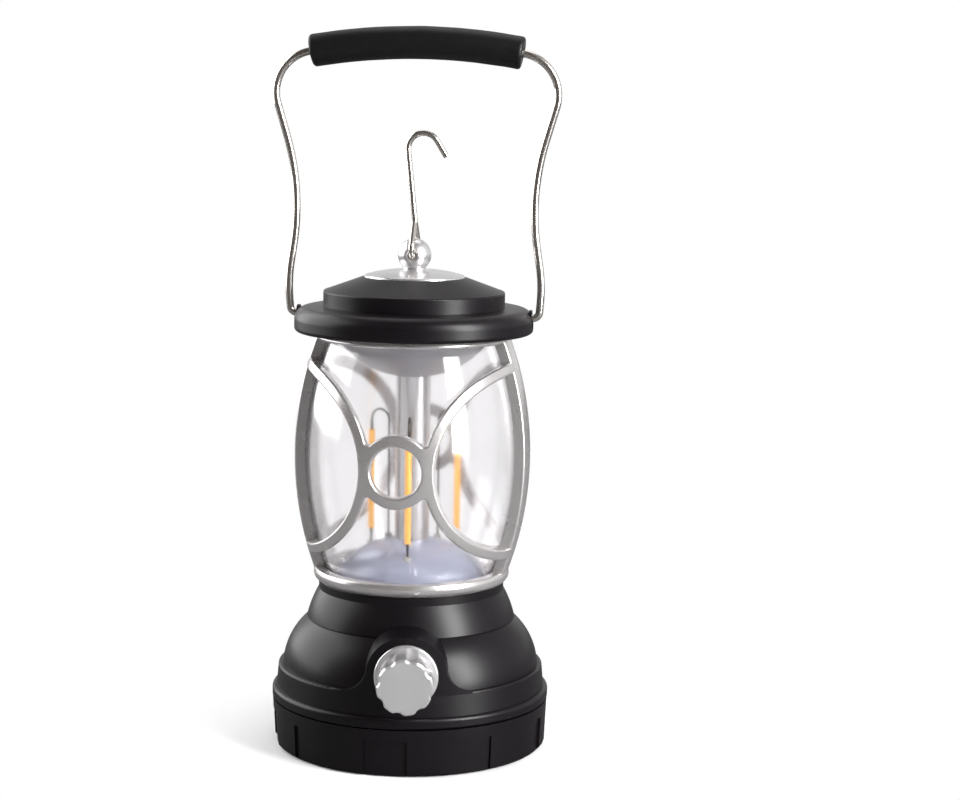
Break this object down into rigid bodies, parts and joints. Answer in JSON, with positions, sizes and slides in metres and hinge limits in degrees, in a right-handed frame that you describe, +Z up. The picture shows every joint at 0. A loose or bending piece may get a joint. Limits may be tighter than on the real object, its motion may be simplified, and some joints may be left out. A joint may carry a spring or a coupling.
{
  "type": "camping lantern",
  "caption": "Battery camping lantern with filament lights in a guarded clear globe, domed base with a dimmer knob, stepped cap, hanging hook and wire bail with a foam grip.",
  "frame": {"origin": "centre of the flat face that the lantern stands on", "axes": "+Z up, front towards -Y, the bail turns about X"},
  "size_m": [0.1304, 0.1436, 0.3253],
  "materials": {
    "black_plastic": "satin black moulded plastic",
    "silver_plastic": "satin silver paint on moulded plastic",
    "silver_trim": "bright silver plated trim",
    "knob_silver": "satin silver plated plastic",
    "clear_plastic": "clear polished plastic",
    "reflector": "silvered plastic",
    "post_metal": "satin aluminium tube",
    "steel": "plain steel",
    "stainless": "polished stainless wire",
    "foam": "closed cell foam sleeve",
    "seal_rubber": "soft rubber",
    "chassis_plastic": "moulded plastic",
    "cell_jacket": "cell jacket, density near that of an alkaline cell",
    "contact_metal": "plated contact strip",
    "board": "green circuit board",
    "ceramic": "white ceramic bead",
    "filament": "phosphor coated strip",
    "lead_wire": "plain lead wire"
  },
  "bodies": {
    "lantern": {"base_body": "black_plastic", "cover_seal": "seal_rubber", "battery_chassis": "chassis_plastic", "d_cells": "cell_jacket", "cell_contacts": "contact_metal", "chassis_screws": "steel", "driver_board": "board", "board_parts": "chassis_plastic", "board_screws": "steel", "dimmer_pot": "chassis_plastic", "pot_nut": "steel", "cage_front": "silver_plastic", "cage_rear": "silver_plastic", "globe": "clear_plastic", "globe_gasket_lower": "seal_rubber", "globe_gasket_upper": "seal_rubber", "lower_reflector": "reflector", "upper_reflector": "reflector", "centre_post": "post_metal", "tie_rod": "steel", "tie_nut": "steel", "filament_sockets": "ceramic", "led_filaments": "filament", "filament_wires": "lead_wire", "cap_brim": "black_plastic", "bail_bushes": "chassis_plastic", "cap_crown": "black_plastic", "cap_screws": "steel", "top_disc": "silver_trim", "finial": "silver_trim"},
    "bail": {"bail_wire": "stainless", "bail_grip": "foam"},
    "hanging_hook": {"hook": "stainless"},
    "dimmer_knob": {"knob": "knob_silver", "pot_shaft": "steel"},
    "bottom_cover": {"battery_cover": "black_plastic", "cover_contacts": "contact_metal", "contact_leaves": "contact_metal", "contact_screws": "steel"}
  },
  "joints": [
    {"name": "bail_swing", "type": "hinge", "parent": "lantern", "child": "bail", "pos_m": [0, 0, 0.1963], "axis": [1, 0, 0], "range_deg": [-150, 150]},
    {"name": "hook_swing", "type": "hinge", "parent": "lantern", "child": "hanging_hook", "pos_m": [0, 0, 0.2236], "axis": [0, 1, 0], "range_deg": [-58, 52]},
    {"name": "knob_turn", "type": "hinge", "parent": "lantern", "child": "dimmer_knob", "pos_m": [0, 0, 0.0446], "axis": [0.1132, -0.9936, 0], "range_deg": [0, 270]},
    {"name": "cover_twist", "type": "hinge", "parent": "lantern", "child": "bottom_cover", "pos_m": [0, 0, 0.01], "axis": [0, 0, -1], "range_deg": [0, 35]}
  ]
}
